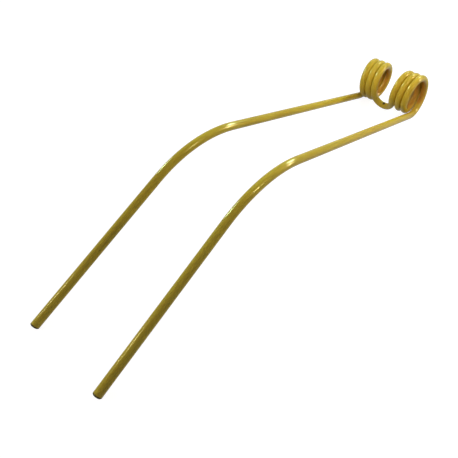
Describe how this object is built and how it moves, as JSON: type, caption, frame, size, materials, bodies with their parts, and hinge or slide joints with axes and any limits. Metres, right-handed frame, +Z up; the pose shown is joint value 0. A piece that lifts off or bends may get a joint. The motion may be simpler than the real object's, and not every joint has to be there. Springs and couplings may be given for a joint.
{
  "type": "rake tine",
  "caption": "Double spring rake tine bent from one round wire, with cranked legs, torsion coils and a joining bridge.",
  "frame": {"origin": "on the common axis of the two coils, half way between them", "axes": "+X along the axis of the coils, the legs reach towards -Y, +Z up as the tine stands on its tips and coils"},
  "size_m": [0.1062, 0.56, 0.0963],
  "materials": {
    "enamel": "gloss enamel on spring steel"
  },
  "bodies": {
    "root": {"tine_wire": "enamel"}
  },
  "joints": []
}
